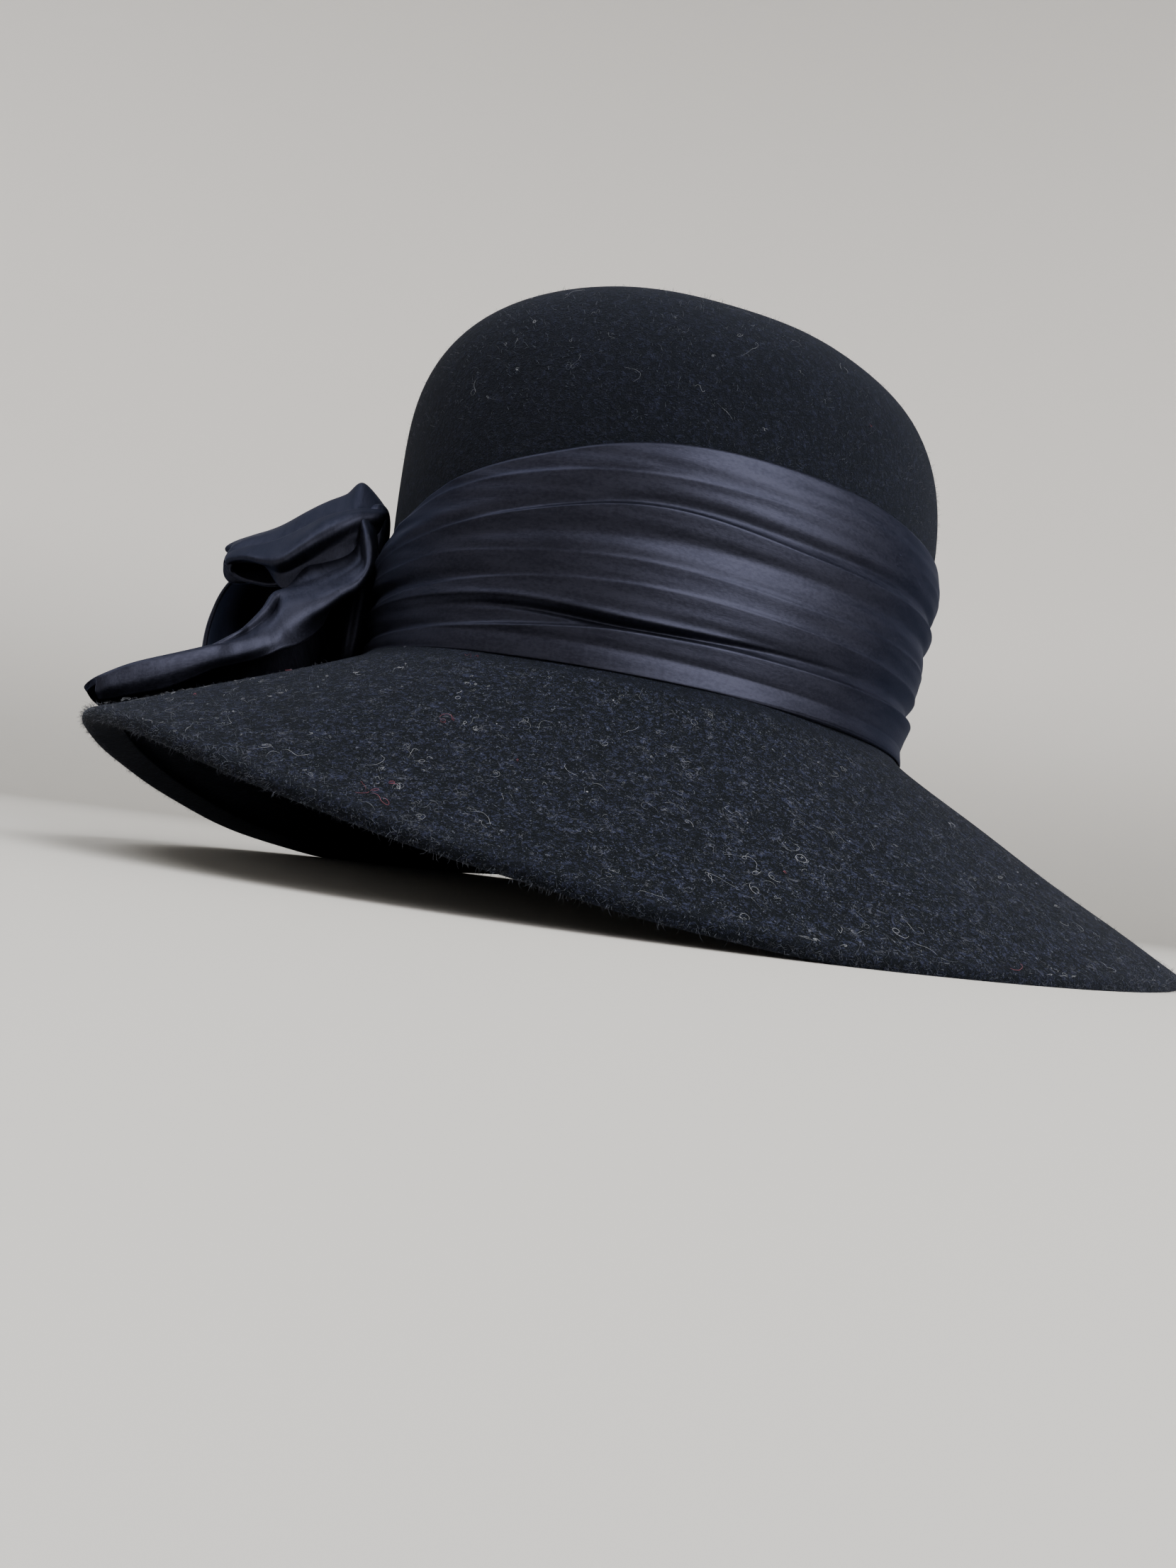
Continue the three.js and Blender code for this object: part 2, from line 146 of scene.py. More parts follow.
# Half the distance between the points that give a normal; round the hat in radians
nudges = {"shoulder": 0.4, "side": 0.3, "fillet": 0.01, "brim": 0.004, "inset": 0.4, "round": 0.006}


def skinNormals(heading, part, value):
    turn, step = nudges["round"], nudges[part]
    around = skinRing(heading + turn, part, value) - skinRing(heading - turn, part, value)
    along = skinRing(heading, part, value + step) - skinRing(heading, part, value - step)
    normal = unit(np.cross(along, around))
    outward = np.stack([np.sin(heading), -np.cos(heading), 1 + 0 * heading], -1)
    return normal * np.sign((normal * outward).sum(-1, keepdims=True))


def rimOutward(heading):
    return unit(skinRing(heading, "inset", 0.0) - skinRing(heading, "inset", 1.0))


# The brim's surface is carried a little past the crown at 0 and the rim at 1.
brimSearch = {"between": (-0.3, 1.6), "halvings": 26}


def brimHeights(points):
    # height of the brim's upper side at points in plan
    low, high = (np.full(len(points), end) for end in brimSearch["between"])
    for _ in range(brimSearch["halvings"]):
        out = (low + high) / 2
        width, length, back = brimOval(out)
        x, y = points[:, 0] / width, (points[:, 1] - back) / length
        inside = np.hypot(x, y) < 1
        high = np.where(inside, out, high)
        low = np.where(inside, low, out)
    heading = np.arctan2(x, -y)
    return brimPoints(heading, low)[:, 2]


# Helpers for meshes


def waves(points, size, seed, count=7):
    # slow, seeded rise and fall between about -1 and 1
    draw = np.random.default_rng(seed)
    total = np.zeros(points.shape[:-1])
    for _ in range(count):
        direction = draw.normal(size=points.shape[-1])
        direction /= np.linalg.norm(direction)
        pitch = size * draw.uniform(0.7, 1.6)
        total += np.sin(points @ direction * (2 * math.pi / pitch) + draw.uniform(0, 2 * math.pi))
    return total / math.sqrt(count)


def gridFaces(rows, columns, closeRows=False):
    # four-sided faces between rings of points, each ring closed on itself
    first = np.arange(rows if closeRows else rows - 1)
    row, column = np.meshgrid(first, np.arange(columns), indexing="ij")
    nextRow, nextColumn = (row + 1) % rows, (column + 1) % columns
    corners = [(row, column), (nextRow, column), (nextRow, nextColumn), (row, nextColumn)]
    return np.stack([a * columns + b for a, b in corners], -1).reshape(-1, 4).tolist()


def poleFaces(rows, columns):
    # the first and the last ring are closed on two points that follow the rings
    last, poles = (rows - 1) * columns, rows * columns
    faces = gridFaces(rows, columns)
    for i in range(columns):
        j = (i + 1) % columns
        faces += [[poles, i, j], [poles + 1, last + j, last + i]]
    return faces


def tubeFaces(count, rows, columns):
    # many tubes alike, rings with a face over either end
    size = rows * columns
    start = np.arange(count)[:, None, None] * size
    sides = np.array(gridFaces(rows, columns)) + start
    ends = np.array([range(columns)[::-1], range(size - columns, size)]) + start
    return sides.reshape(-1, 4).tolist() + ends.reshape(-1, columns).tolist()


def addObject(name, data):
    made = bpy.data.objects.new(name, data)
    bpy.context.scene.collection.objects.link(made)
    return made


def smoothMesh(name, points, faces):
    mesh = bpy.data.meshes.new(name)
    mesh.from_pydata(points.reshape(-1, 3).tolist(), [], faces)
    mesh.polygons.foreach_set("use_smooth", [True] * len(mesh.polygons))
    return mesh


def addPiece(name, points, faces, finish, cloth=None):
    mesh = smoothMesh(name, points, faces)
    if cloth is not None:  # what the finish varies with, for a weave metres along and across it
        layer = mesh.attributes.new("cloth", "FLOAT_VECTOR", "POINT")
        layer.data.foreach_set("vector", cloth.astype(np.float32).ravel())
    mesh.materials.append(finish)
    mesh.validate()
    piece = addObject(name, mesh)
    faceOut(mesh)
    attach(piece, "root")
    return piece


def faceOut(mesh):
    points = np.array([v.co for v in mesh.vertices])
    mesh.calc_loop_triangles()
    a, b, c = (points[[t.vertices[i] for t in mesh.loop_triangles]] for i in range(3))
    if (a * np.cross(b, c)).sum() < 0:
        mesh.flip_normals()


# Helpers for materials


class Amount:
    # a number that varies over a surface; expressions on it add Math nodes
    def __init__(self, tree, socket):
        self.tree = tree
        self.socket = socket

    def apply(self, operation, first, second):
        node = self.tree.nodes.new("ShaderNodeMath")
        node.operation = operation
        for place, item in zip(node.inputs, (first, second)):
            if isinstance(item, Amount):
                self.tree.links.new(item.socket, place)
            else:
                place.default_value = item
        return Amount(self.tree, node.outputs[0])

    def __add__(self, other):
        return self.apply("ADD", self, other)

    def __sub__(self, other):
        return self.apply("SUBTRACT", self, other)

    def __rsub__(self, other):
        return self.apply("SUBTRACT", other, self)

    def __mul__(self, other):
        return self.apply("MULTIPLY", self, other)

    __radd__ = __add__
    __rmul__ = __mul__


class Finish:
    def __init__(self, name):
        self.material = bpy.data.materials.new(name)
        self.material.use_nodes = True
        self.tree = self.material.node_tree
        self.tree.nodes.clear()

    def node(self, kind, settings=None, sockets=None):
        made = self.tree.nodes.new("ShaderNode" + kind)
        for key, value in (settings or {}).items():
            setattr(made, key, value)
        for key, value in (sockets or {}).items():
            if isinstance(value, Amount):
                value = value.socket
            if isinstance(value, bpy.types.NodeSocket):
                self.tree.links.new(value, made.inputs[key])
            else:
                made.inputs[key].default_value = value
        return made

    def noise(self, where, size, detail=2.0, roughness=0.5, distortion=0.0):
        # size in metres
        sockets = {
            "Vector": where,
            "Scale": 1 / size,
            "Detail": detail,
            "Roughness": roughness,
            "Distortion": distortion,
        }
        return Amount(self.tree, self.node("TexNoise", None, sockets).outputs[0])

    def between(self, amount, low, high):
        # 0 below low, 1 above high, smooth between
        settings = {"interpolation_type": "SMOOTHSTEP"}
        sockets = {"Value": amount, "From Min": low, "From Max": high}
        return Amount(self.tree, self.node("MapRange", settings, sockets).outputs[0])

    def blend(self, amount, first, second):
        settings = {"data_type": "RGBA", "clamp_factor": True}
        return self.node("Mix", settings, {0: amount, 6: first, 7: second}).outputs[2]

    def mapped(self, where, key, value):
        return self.node("Mapping", {"vector_type": "POINT"}, {"Vector": where, key: value}).outputs[0]

    def upward(self, where):
        return Amount(self.tree, self.node("SeparateXYZ", None, {0: where}).outputs[2])

    def place(self):
        return self.node("TexCoord").outputs["Object"]

    def attribute(self, name, output):
        return self.node("Attribute", {"attribute_name": name}).outputs[output]

    def surface(self, sockets, height=None, depth=0.0, strength=1.0):
        if height is not None:
            bump = self.node("Bump", None, {"Height": height, "Distance": depth, "Strength": strength})
            sockets = {**sockets, "Normal": bump.outputs[0]}
        shader = self.node("BsdfPrincipled", None, sockets)
        self.node("OutputMaterial", None, {"Surface": shader.outputs[0]})
        return self.material


# Felt

feltLook = {
    "dark": (0.0019, 0.0026, 0.0032, 1),
    "light": (0.0152, 0.0174, 0.0330, 1),
    "dust": (0.15, 0.16, 0.20, 1),
    "wisp": (0.16, 0.165, 0.20, 1),
    "grain": 0.0009,  # sizes in metres
    "tuft": 0.0019,
    "patch": 0.02,
    "wispSize": 0.0042,
    "bump": 0.0008,
    "grainRange": (0.49, 0.66),
    "grainShare": (0.36, 0.76),  # under everything, and what the brim adds: painted light, the brim's top lighter than the crown and the underside
    "evenShare": 0.12,  # an even lift on the crown and the underside, which get less grain: painted shade, these darker than the brim's top
    "dustRange": (0.66, 0.74),
    "dustShare": (0.03, 0.34),
    "wispShare": 0.17,
    "surface": {
        "Roughness": 0.96,
        "Specular IOR Level": 0.06,
        "Sheen Weight": 0.022,
        "Sheen Roughness": 0.45,
        "Sheen Tint": (0.52, 0.62, 0.95, 1),
    },
}


def feltFinish():
    felt = Finish("wool_felt")
    where = felt.place()
    # dust that falls on the hat stays on the brim and slides off the crown; the same share also paints the
    # brim's top lighter than the crown and the underside, painted light from above
    dustAndPaintedLight = Amount(felt.tree, felt.attribute("cloth", "Fac"))
    fibres = felt.noise(felt.mapped(where, "Scale", (1, 1, 1.5)), feltLook["grain"], 2.0, 0.6, 1.6)
    tufts = felt.noise(where, feltLook["tuft"], 2.0, 0.5, 0.8)
    patches = felt.noise(where, feltLook["patch"], 3.0, 0.55)
    least, added = feltLook["grainShare"]
    grain = felt.between(fibres * 0.65 + tufts * 0.35, *feltLook["grainRange"])
    # painted light: more and lighter grain on the brim's top, a darker, even tone on the crown and the
    # underside
    grain = grain * (least + dustAndPaintedLight * added) + (1 - dustAndPaintedLight) * feltLook["evenShare"]
    cloth = felt.blend(grain * (0.75 + patches * 0.5), feltLook["dark"], feltLook["light"])
    dust = felt.between(felt.noise(where, feltLook["grain"], 1.0, 0.4, 2.2), *feltLook["dustRange"])
    least, added = feltLook["dustShare"]
    cloth = felt.blend(dust * (least + dustAndPaintedLight * added), cloth, feltLook["dust"])
    # fine curled threads: where a slow noise crosses its middle value, broken into short runs
    for turn in (0.0, 0.37):
        moved = felt.mapped(where, "Location", (turn, 2 * turn, -turn))
        line = felt.noise(moved, feltLook["wispSize"], 2.0, 0.55, 1.0) - 0.5
        runs = felt.between(felt.noise(moved, feltLook["wispSize"] * 1.3), 0.56, 0.64)
        wisps = (1 - felt.between(line * line, 0.00001, 0.00022)) * runs
        cloth = felt.blend(wisps * dustAndPaintedLight * feltLook["wispShare"], cloth, feltLook["wisp"])
    sockets = {"Base Color": cloth, **feltLook["surface"]}
    return felt.surface(sockets, fibres * 0.6 + tufts * 0.6, feltLook["bump"], 0.9)


# Rows are the first place, the last place and how many there are. Each row of the hem is a distance in
# from the rim and how far the stitches pull it.
feltBody = {
    "headings": 360,
    "shoulderRows": (2.5, 78, 44),
    "sideRows": 26,
    "filletRows": 10,
    "brimRows": (0.1, 0.96, 50),
    "rimRows": 13,
    "hemRows": [(3.5, 0), (5, 0), (6.5, 0.2), (8, 0.6), (9.2, 1), (10.2, 0.6), (10.8, -0.4)],
    "insideTo": 0.86,
    "wall": 2.4,
    "hemWidth": 11.0,
    "hemThickness": 4.4,
    "hemStep": 0.8,
    "cutEdge": 0.7,
    "lump": 0.35,
    "lumpSize": 55.0,
    "pucker": 0.12,
    "stitches": 150,
    # share of dust and of painted light: 1 for the brim's top, less on the rim and crown, none on the
    # underside
    "dustAndPaintedLight": {"brim": 1.0, "crown": 0.15, "rim": 0.6, "inside": 0.0},
}


def feltRows():
    rows = [("shoulder", turn) for turn in np.linspace(*feltBody["shoulderRows"])]
    lastTurn = math.radians(feltBody["shoulderRows"][1])
    top = math.cos(lastTurn) ** (2 / hatForm["sidePower"]) * hatForm["crownHeight"]
    rows += [("side", height) for height in np.linspace(top, hatForm["fillet"], feltBody["sideRows"])[1:]]
    rows += [("fillet", share) for share in np.linspace(0, 1, feltBody["filletRows"])[1:-1]]
    rows += [("brim", out) for out in np.linspace(*feltBody["brimRows"])]
    return rows


def makeFelt(finish):
    heading = fullTurn(feltBody["headings"])
    rows = feltRows()
    radius = feltBody["hemThickness"] / 2

    def ring(place, depth):
        points = skinRing(heading, *place)
        swell = feltBody["lump"] * waves(points, feltBody["lumpSize"], 4)
        return points + skinNormals(heading, *place) * (swell - depth)[:, None]

    outside = [ring(place, 0.0) for place in rows]
    rimPlace = ("inset", radius)
    normal = skinNormals(heading, *rimPlace)
    outward = rimOutward(heading)
    middle = ring(rimPlace, radius)
    rim = [
        middle + radius * (normal * math.cos(turn) + outward * math.sin(turn))
        for turn in np.linspace(0, math.pi, feltBody["rimRows"])
    ]
    stitches = feltBody["pucker"] * np.sin(heading * feltBody["stitches"])
    hem = [
        ring(("inset", inset), feltBody["hemThickness"]) - normal * (stitches * pull)[:, None]
        for inset, pull in feltBody["hemRows"]
    ]
    hem.append(ring(("inset", feltBody["hemWidth"]), feltBody["hemThickness"] - feltBody["cutEdge"]))
    hem.append(ring(("inset", feltBody["hemWidth"] + feltBody["hemStep"]), feltBody["wall"]))
    inner = [place for place in rows if place[0] != "brim" or place[1] < feltBody["insideTo"]]
    inside = [ring(place, feltBody["wall"]) for place in reversed(inner[::2])]
    rings = np.array(outside + rim + hem + inside)
    height = hatForm["crownHeight"]
    poles = np.array([[0, 0, height + 0.1], [0, 0, height - feltBody["wall"]]])
    count, sides = rings.shape[:2]
    faces = poleFaces(count, sides)
    points = toPart(np.concatenate([rings.reshape(-1, 3), poles]))
    keepAbove(points, 0)  # pressed flat where it rests
    # each ring's share of dust and of painted light
    share = feltBody["dustAndPaintedLight"]
    shares = [share["brim" if part == "brim" else "crown"] for part, _ in rows]
    shares += [share["rim"]] * len(rim)
    shares += [share["inside"]] * (count - len(shares))
    dustAndPaintedLight = np.concatenate([np.repeat(shares, sides), (share["crown"], share["inside"])])
    felt = addPiece("hat_felt", points, faces, finish, np.repeat(dustAndPaintedLight[:, None], 3, 1))
    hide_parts("felt_body")


makeFelt(feltFinish())
print("felt made")


# Satin

satinLook = {
    "shade": (0.0162, 0.0170, 0.0256, 1),
    "light": (0.0246, 0.0256, 0.0378, 1),
    "surface": {"Metallic": 1.0, "Specular Tint": (0.49, 0.52, 0.625, 1)},
    "roughness": 0.43,
    "rougher": {"slub": 0.08, "weave": 0.10},
    "thread": 0.0004,  # sizes in metres
    "weave": 0.0008,
    "slub": 0.004,
    "bump": 0.00009,
}


def satinFinish():
    satin = Finish("silk_satin")
    where = satin.attribute("cloth", "Vector")
    threads = satin.noise(satin.mapped(where, "Scale", (0.12, 1, 1)), satinLook["thread"], 2.0, 0.6)
    slubs = satin.noise(satin.mapped(where, "Scale", (0.25, 1, 1)), satinLook["slub"], 3.0, 0.55)
    weave = satin.noise(satin.mapped(where, "Scale", (0.6, 1, 1)), satinLook["weave"], 2.0, 0.6)
    mottle = satin.between(slubs * 0.5 + weave * 0.5, 0.36, 0.62)
    colour = satin.blend(mottle, satinLook["shade"], satinLook["light"])
    rougher = satinLook["rougher"]
    rough = satinLook["roughness"] + slubs * rougher["slub"] + weave * rougher["weave"]
    sockets = {"Base Color": colour, "Roughness": rough, **satinLook["surface"]}
    return satin.surface(sockets, threads * 0.5 + weave * 0.6 + slubs * 0.6, satinLook["bump"], 0.7)


satinMaterial = satinFinish()


# Heights and depths in millimetres at the headings, read round the band from the bow. A pleat is a
# sharp crest that falls away slowly below, a hollow is a valley between folds, a swell a broad crest.
satinBand = {
    "headings": [-46, -23, -8, 10, 30, 60, 90, 150, 210, 270],
    "upperEdge": [33, 39.5, 48, 54.6, 61.8, 65.2, 65.8, 66.5, 65.5, 54],
    "foot": -1.7,
    "middle": 35.0,
    "rows": 210,
    "columns": 400,
    "footGap": [0.2, 0.2, 0.2, 0.4, 1.2, 1.9, 2.0, 1.5, 0.8, 0.3],
    "footEase": 7.0,
    "gap": 0.35,
    "innerStop": 0.6,  # below the upper edge
    "least": 0.85,  # of the cloth's outside off the felt
    "thickness": 1.2,
    "belly": 2.9,
    "radius": 95,  # mean, for the weave's length round the hat
    "turnUnder": 8.5,
    "tucked": 1.6,
    "tuckWave": 0.4,
    "lip": 1.3,
    "edgeWave": 0.35,
    "curveTop": 0.45,  # of the fillet, where the foot begins to spread with the felt
    "spread": 0.38,
    "sharpness": 0.85,
    "unevenness": 0.3,
    "pulls": (0.07, 0.28, 24),  # everywhere, added at the bow, and how far from it in degrees
    "lumps": 0.22,
}
# heights, rises, width above, width below
pleats = [
    ([31, 37, 43.5, 48.5, 52, 54, 55.5, 56, 55, 46],
     [0.3, 0.5, 0.5, 0.5, 0.45, 0.3, 0.2, 0.4, 0.4, 0.3], 0.7, 4.0),
    ([24, 28, 32, 37.5, 43.2, 42.1, 43.5, 44, 42, 35],
     [0.6, 0.7, 0.8, 1.1, 1.4, 1.4, 1.2, 1.0, 1.0, 0.7], 0.8, 5.0),
    ([21.5, 22.3, 25, 26.6, 28.4, 28, 29.5, 30, 29, 25],
     [0.9, 0.8, 0.6, 0.5, 0.45, 0.4, 0.5, 0.5, 0.6, 0.8], 0.7, 3.6),
    ([12.5, 13.8, 16.8, 19.6, 21.7, 21.8, 21.5, 22, 21, 18],
     [0.6, 0.6, 0.55, 0.5, 0.5, 0.55, 0.7, 0.6, 0.5, 0.5], 0.7, 3.2),
    ([11, 12.3, 13.4, 14.3, 12.9, 14.5, 18, 17, 16, 14],
     [0.4, 0.5, 0.7, 1.0, 1.4, 0.5, 0.0, 0.4, 0.6, 0.6], 1.4, 1.2),
    ([2, 2.6, 4, 5.9, 9, 10.7, 12.3, 13, 11, 6],
     [1.1, 1.4, 1.5, 1.8, 2.0, 2.0, 1.9, 1.8, 1.6, 1.1], 0.8, 8.0),
]
# heights, depths, width
hollows = [
    ([31, 32, 35, 39.2, 45.2, 45.4, 48, 48, 46, 38], [0, 0, 0, 0.4, 1.0, 1.2, 1.4, 0.8, 0.8, 0.2], 1.8),
    ([26, 27, 29.5, 33, 35.3, 36, 38, 38, 36, 30], [0, 0, 0.4, 1.1, 1.3, 0.9, 1.3, 1.0, 0.8, 0.1], 2.6),
    ([16.5, 17.2, 18.6, 20, 22, 22, 22, 22, 22, 20], [1.6, 1.5, 1.1, 0.4, 0, 0, 0, 0, 0.1, 0.9], 2.2),
    ([8, 9, 10.5, 11.6, 10.6, 13.6, 17, 17, 15, 11], [0, 0, 0.2, 0.9, 1.9, 0.5, 0, 0.4, 0.6, 0.3], 1.0),
    ([8, 9, 10.5, 11.6, 12.0, 14.4, 17, 17, 15, 11], [0, 0, 0, 0.2, 0.5, 1.2, 1.6, 1.0, 0.8, 0.2], 2.8),
]
swells = [
    ([27, 31, 35.8, 40, 44, 44, 44, 44, 42, 36], [1.1, 1.2, 0.9, 0.3, 0, 0, 0, 0, 0, 0.6], 2.4),
    ([29, 34, 40, 45, 56, 59, 58, 58, 56, 45], [0, 0, 0.2, 0.5, 0.7, 0.9, 1.0, 0.8, 0.8, 0.3], 5.0),
]


def readRound(values, degrees):
    # the smooth closed curve through a row of values, at any headings
    places = np.array(satinBand["headings"], float)
    first = places[0]
    places = np.concatenate([places[-3:] - 360, places, places[:3] + 360])
    values = np.array(values, float)
    values = np.concatenate([values[-3:], values, values[:3]])
    slopes = np.gradient(values, places)
    turn = (degrees - first) % 360 + first
    i = np.clip(np.searchsorted(places, turn, side="right") - 1, 0, len(places) - 2)
    span = places[i + 1] - places[i]
    t = (turn - places[i]) / span
    a = (2 * t**3 - 3 * t**2 + 1) * values[i] + (t**3 - 2 * t**2 + t) * span * slopes[i]
    b = (3 * t**2 - 2 * t**3) * values[i + 1] + (t**3 - t**2) * span * slopes[i + 1]
    return a + b


def bandStandOff(degrees, height, upper, foot):
    share = (upper - height) / (upper - foot)
    total = satinBand["thickness"] + satinBand["belly"] * np.sin(math.pi * mix(0.14, 0.9, share))
    for heights, rises, above, below in pleats:
        away = height - readRound(heights, degrees)
        rise = satinBand["sharpness"] * np.maximum(0, readRound(rises, degrees))
        uneven = waves(np.stack([degrees, 0 * degrees + 40 * heights[0]], -1), 70, 13)
        rise = rise * (1 + satinBand["unevenness"] * uneven)
        shape = np.where(away > 0, np.exp(-((np.abs(away) / above) ** 1.6)), np.exp(-np.abs(away) / below))
        total = total + rise * shape
    for sign, table in ((-1, hollows), (1, swells)):
        for heights, depths, width in table:
            away = height - readRound(heights, degrees)
            depth = np.maximum(0, readRound(depths, degrees))
            total = total + sign * depth * np.exp(-((away / width) ** 2))
    # gathered towards the bow, slightly uneven all round
    least, added, reach = satinBand["pulls"]
    fromBow = (degrees - satinBand["headings"][0] + 180) % 360 - 180
    gathered = np.exp(-((fromBow / reach) ** 2))
    flat = np.stack([degrees * 0.55 + 0 * height, height * 10], -1)
    total = total + (least + added * gathered) * waves(flat, 42, 11, 9)
    flat = np.stack([degrees + 0 * height, height * 2.2], -1)
    total = total + satinBand["lumps"] * waves(flat, 60, 12)
    return np.maximum(total, satinBand["least"])


def sideNormals(heading):
    return skinNormals(heading, "side", satinBand["middle"])


def offCrown(heading, height, distance):
    curveTop = hatForm["fillet"] * satinBand["curveTop"]
    base = crownPoints(heading, np.maximum(height, curveTop))
    base[..., 2] = height
    normal = unit(sideNormals(heading[0]) * (1, 1, 0))
    spread = satinBand["spread"] * np.maximum(0, curveTop - height)
    return base + normal[None] * (distance + spread)[..., None]


def rollOver(edge, stand, distance):
    # a quarter round from the edge's place, at distance 0, to the cloth's, at 1
    share = np.sqrt(np.clip(1 - (1 - distance) ** 2, 0, 1))
    return np.where(distance < 1, mix(edge, stand, share), stand)


def makeBand(finish):
    first = satinBand["headings"][0]
    degrees = np.linspace(first, first + 360, satinBand["columns"], endpoint=False)[None]
    heading = np.radians(degrees)
    upper = readRound(satinBand["upperEdge"], degrees)
    edge = np.stack([degrees, 0 * degrees], -1)
    upper = upper + satinBand["edgeWave"] * waves(edge, 50, 21)
    foot = satinBand["foot"] + 0 * upper
    share = np.linspace(0, 1, satinBand["rows"])[:, None]
    height = mix(upper, foot, share)
    stand = bandStandOff(degrees, height, upper, foot)
    # the upper edge folds over in a small roll, and the lower one turns under
    stand = rollOver(satinBand["least"], stand, (upper - height) / satinBand["lip"])
    tucked = satinBand["tucked"] + satinBand["tuckWave"] * waves(edge, 80, 22)
    stand = rollOver(tucked, stand, (height - foot) / satinBand["turnUnder"])
    outside = offCrown(heading + 0 * height, height, stand)
    # the foot comes down to the brim
    resting = brimHeights(outside[-1]) + readRound(satinBand["footGap"], degrees[0])
    ease = np.clip(1 - (height - foot) / satinBand["footEase"], 0, 1) ** 1.5
    outside[..., 2] += ease * (resting - outside[-1, :, 2])
    gap = satinBand["gap"]
    line = heading[0]
    inside = [skinRing(line, "fillet", v) + gap * skinNormals(line, "fillet", v) for v in (0.7, 0.35)]
    for v in (0, 0.25, 0.5, 0.75, 1):
        level = mix(hatForm["fillet"], upper[0] - satinBand["innerStop"], v)
        inside.append(crownPoints(line, level) + gap * sideNormals(line))
    rings = np.concatenate([outside, np.array(inside)])
    faces = gridFaces(len(rings), rings.shape[1], closeRows=True)
    along = heading * satinBand["radius"] / 1000 + 0 * height
    cloth = np.stack([along, height / 1000, 0 * along], -1)
    backing = np.zeros((len(inside), rings.shape[1], 3))
    backing[..., 0] = along[0]
    cloth = np.concatenate([cloth, backing])
    band = addPiece("satin_band_draped", toPart(rings.reshape(-1, 3)), faces, finish, cloth)
    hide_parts("satin_band")


makeBand(satinMaterial)
print("band made")


# Bow

bow = {
    "heading": -46.0,
    "reach": 97.0,
    "cloth": 1.5,
    "clear": 0.5,
    "ripple": 0.25,
    "gathers": (31, 53),  # radians of ripple across a strip, broad and fine
    "rippleReach": 22,
    "lumps": 0.35,
    "lumpSize": 26,
}

angle = math.radians(bow["heading"])
knotOut = np.array([math.sin(angle), -math.cos(angle), 0])
knotForward = np.array([math.cos(angle), math.sin(angle), 0])
knotAxes = np.array([knotOut, knotForward, (0, 0, 1)])


def fromKnot(points):
    # outward, forward and up from the knot to the hat's own millimetres
    return np.asarray(points, float) @ knotAxes + knotOut * bow["reach"]


def smoothCurve(points, at, closed):
    # points: sections by axis; at: places from 0 to 1
    if closed:
        t = at * len(points)
        longer = np.concatenate([points[-1:], points, points[:2]])
    else:
        last = len(points) - 1
        t = np.minimum(at * last, last - 1e-9)
        longer = np.concatenate([2 * points[:1] - points[1:2], points, 2 * points[-1:] - points[-2:-1]])
    i = np.floor(t).astype(int)
    w = (t - i)[:, None]
    a, b, c, d = (longer[i + k] for k in range(4))
    return b + 0.5 * w * (c - a + w * (2 * a - 5 * b + 4 * c - d + w * (3 * (b - c) + d - a)))


# Sections of each strip in the knot frame, the same as the solids have: outward, forward, up.
upperLoop = {
    "far": [
        (5, -10, 48), (12, -19, 57), (20, -24, 54), (29, -26, 49), (38, -26, 43.5), (45, -25, 39),
        (51, -23, 34.5), (53.5, -21.5, 31.5), (51.5, -22, 31.5), (44.5, -24, 36), (32.5, -24.5, 42.5),
        (19, -21, 50), (9, -11, 46),
    ],
    "top": [
        (3, -7, 51.5), (12, -12, 62.5), (17, -14, 58), (22.5, -15, 54), (29, -15, 48), (35, -15, 42),
        (41, -14, 37.5), (46.5, -13, 34), (50.5, -13, 30), (51, -14, 26), (47.5, -14, 22),
        (34.5, -12, 26), (11, -8, 39.5),
    ],
    "crease": [
        (2.5, 2, 49), (10, 3, 49), (15.5, 2.5, 46), (22, 1, 43), (28, -1.5, 38.5), (34, -3, 34),
        (40, -4, 30.5), (45.5, -6, 28.5), (50, -9, 26), (51, -11, 23.5), (47, -12, 19.5),
        (34.5, -10, 24), (12.5, -6.5, 37.5),
    ],
    "ledge": [
        (2.5, 5, 49), (9, 8, 48), (15, 8, 45.5), (21.5, 6, 42.5), (27.5, 3, 38.5), (33.5, 1, 34),
        (39.5, -1, 31), (45, -4, 29.5), (50, -8, 27), (51, -10, 25), (47, -11, 21), (34.5, -9, 26),
        (13, -6, 39.5),
    ],
    "ridge": [
        (3.5, 8, 46), (9.5, 13, 44), (15.5, 15, 39.5), (21, 15, 35), (26.5, 15, 29.5), (32, 14, 24.5),
        (37.5, 9, 24), (44, 3, 25), (49.5, -4, 24.5), (50, -7, 23.5), (46, -8, 21), (34, -6, 26),
        (15, -4, 40),
    ],
    "hollow": [
        (3.5, 6, 43), (9.5, 12, 38.5), (15, 12, 34), (20.5, 11, 29.5), (26, 10, 25), (31.5, 9, 21.5),
        (37.5, 5, 24), (44, 0, 24.5), (49, -5, 24.5), (49.5, -7, 22), (43.5, -6, 20), (33, -3, 22.5),
        (16, -2, 35.5),
    ],
    "near": [
        (3, 4, 41), (8, 11, 33), (13, 12, 27.5), (18.5, 12, 22.5), (24.5, 11, 19), (30, 9, 17),
        (37.5, 0, 24.5), (44, -3, 25), (49, -6, 24), (48, -6, 20.5), (41.5, -4, 18.5), (31.5, 0, 19.5),
        (16.5, 0, 29.5),
    ],
}
